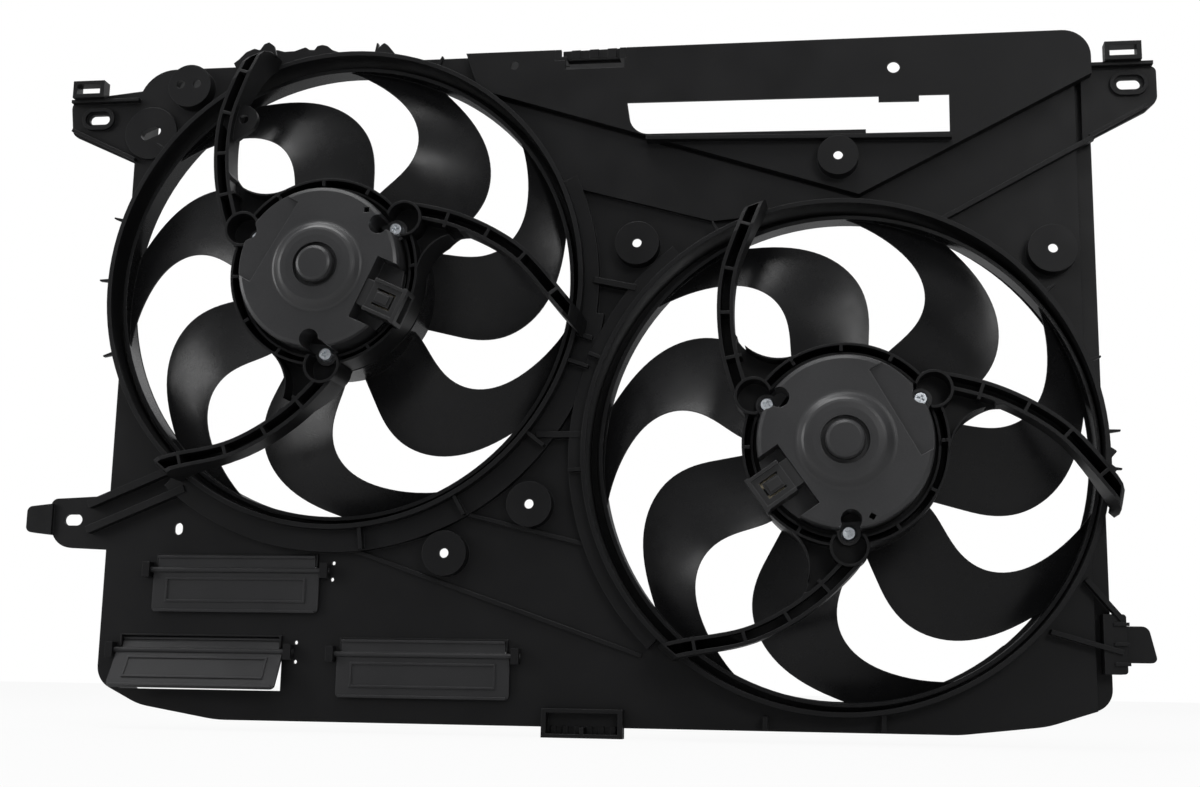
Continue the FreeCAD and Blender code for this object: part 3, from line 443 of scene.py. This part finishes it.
def rim_strip(name, centre, stops, step, root, depth, plastic):
    """Flat strip round a rim, from its root radius to the free edge that the stops give."""
    first, last = stops[0][0], stops[-1][0]
    steps = round((last - first) / step)
    front, back = depth
    loops = []
    for i in range(steps + 1):
        angle = first + (last - first) * i / steps
        c, s = math.cos(math.radians(angle)), math.sin(math.radians(angle))
        edge = edge_radius(stops, angle)
        section = ((root, front), (root, back), (edge, back), (edge, front))
        loops.append([(centre[0] + r * c, y, centre[1] + r * s) for r, y in section])
    whole = last - first == 360
    if whole:
        loops.pop()
    shroud_piece(name, loops, plastic, STRIP_EDGE, whole)


def pin_section(pin, across, radii, angle):
    """Rectangle that stands on a flap's pin at an angle, between two places along it and two radii."""
    x, z = pin
    low, high = across
    near, far = radii
    c, s = math.cos(math.radians(angle)), math.sin(math.radians(angle))
    corners = ((low, near), (high, near), (high, far), (low, far))
    return [(x + dx, PIN_Y + r * s, z + r * c) for dx, r in corners]


def flap_seal(name, pin, plastic):
    """Curved hood behind a flap's top edge, with a cheek at each side of the window."""
    hood = (HOOD_INSET - FLAP_HALF, FLAP_HALF - HOOD_INSET)
    near, far = CHEEK_INSET
    cheeks = {"left": (near - FLAP_HALF, far - FLAP_HALF), "right": (FLAP_HALF - far, FLAP_HALF - near)}
    stations = range(SEAL_STATIONS)
    loops = [pin_section(pin, hood, HOOD_RADII, HOOD_START + HOOD_STEP * i) for i in stations]
    shroud_piece("flap_seal_" + name, loops, plastic)
    for side, across in cheeks.items():
        loops = [pin_section(pin, across, CHEEK_RADII, CHEEK_START + CHEEK_STEP * i) for i in stations]
        shroud_piece("flap_cheek_%s_%s" % (side, name), loops, plastic)


def ridged_plate(name, plastic, x, y, z, ridges, depth, fall):
    """Plate whose front carries upright ridges; its top falls towards the left end."""
    bays = 2 * ridges + 1
    width = (x[1] - x[0]) / bays
    loops = []
    for i in range(bays):
        front = y[0] - depth if i % 2 else y[0]
        for at in (x[0] + width * i + RIDGE_GAP, x[0] + width * (i + 1) - RIDGE_GAP):
            top = z[1] - fall * (x[1] - at)
            loops.append([(at, front, z[0]), (at, y[1], z[0]),
                          (at, y[1], top), (at, front, top - RIDGE_CHAMFER)])
    shroud_piece(name, loops, plastic)


def make_trim(plastic):
    for name, (centre, stops) in LIPS.items():
        rim_strip(name, centre, stops, LIP_STEP, LIP_ROOT, LIP_DEPTH, plastic)
    for name, (centre, stops) in RIM_LEDGES.items():
        rim_strip(name, centre, stops, LEDGE_STEP, RIM_ROOT, RIM_DEPTH, plastic)
    rim_strip("leg_bumps", LEFT_CENTRE, LEG_BUMPS, LEDGE_STEP, LEG_ROOT, LEG_DEPTH, plastic)
    for name, pin in FLAP_PINS.items():
        flap_seal(name, pin, plastic)
    for name, plate in RIDGED_PLATES.items():
        ridged_plate(name, plastic, **plate)


def seen_by_lens(graph, in_gloss):
    """1 where the camera looks straight or through glass, and a share of that in reflections."""
    path = graph.node("ShaderNodeLightPath")
    direct = graph.math("MAXIMUM", path.outputs["Is Camera Ray"], path.outputs["Is Transmission Ray"])
    return graph.math("MAXIMUM", direct, graph.math("MULTIPLY", path.outputs["Is Glossy Ray"], in_gloss))


def blend_shaders(graph, factor, first, second, output_kind):
    both = graph.node("ShaderNodeMixShader")
    output = graph.node(output_kind)
    for source, target in ((factor, 0), (first.outputs[0], 1), (second.outputs[0], 2)):
        graph.link(source, both.inputs[target])
    graph.link(both.outputs[0], output.inputs[0])


def make_floor(level):
    material = bpy.data.materials.new("studio_floor")
    material.use_nodes = True
    graph = Graph(material.node_tree)
    paint = graph.node("ShaderNodeBsdfDiffuse")
    paint.inputs["Color"].default_value = solid_colour(FLOOR_PAINT)
    white = graph.node("ShaderNodeEmission")
    white.inputs["Color"].default_value = solid_colour(WHITE)
    whiteness = graph.math("MULTIPLY", seen_by_lens(graph, FLOOR_IN_GLOSS), FLOOR_WHITENESS)
    blend_shaders(graph, whiteness, paint, white, "ShaderNodeOutputMaterial")

    mesh = bpy.data.meshes.new("floor")
    corners = [(x * FLOOR_HALF, y * FLOOR_HALF, level) for x, y in ((-1, -1), (1, -1), (1, 1), (-1, 1))]
    mesh.from_pydata(corners, [], [(0, 1, 2, 3)])
    mesh.materials.append(material)
    floor = bpy.data.objects.new("floor", mesh)
    scene.collection.objects.link(floor)


def make_world():
    """Sky that brightens towards its top, and is plain white where the camera sees it."""
    world = bpy.data.worlds.new("studio")
    scene.world = world
    world.use_nodes = True
    graph = Graph(world.node_tree)
    sky = graph.node("ShaderNodeBackground")
    sky.inputs["Color"].default_value = solid_colour(SKY_COLOUR)
    coordinates = graph.node("ShaderNodeTexCoord")
    parts = graph.node("ShaderNodeSeparateXYZ")
    graph.link(coordinates.outputs["Generated"], parts.inputs[0])
    graph.link(graph.remap(parts.outputs["Z"], SKY_HEIGHTS, SKY_STRENGTHS), sky.inputs["Strength"])
    white = graph.node("ShaderNodeBackground")
    white.inputs["Color"].default_value = solid_colour(WHITE)
    white.inputs["Strength"].default_value = 1.0
    blend_shaders(graph, seen_by_lens(graph, SKY_IN_GLOSS), sky, white, "ShaderNodeOutputWorld")


def soft_lamp(name, place, size, power):
    data = bpy.data.lights.new(name, "AREA")
    data.shape = "RECTANGLE"
    data.size, data.size_y = size
    data.energy = power
    lamp = bpy.data.objects.new(name, data)
    scene.collection.objects.link(lamp)
    lamp.location = place
    aim = Vector(LAMP_AIM) - Vector(place)
    lamp.rotation_euler = aim.to_track_quat("-Z", "Y").to_euler()


make_camera()
materials = make_materials()
dress_nodes(materials)
make_trim(materials["shroud_plastic"])
make_floor(cad_box[0][2])
make_world()
for lamp_name, (lamp_place, lamp_size, lamp_power) in LAMPS.items():
    soft_lamp(lamp_name, lamp_place, lamp_size, lamp_power)
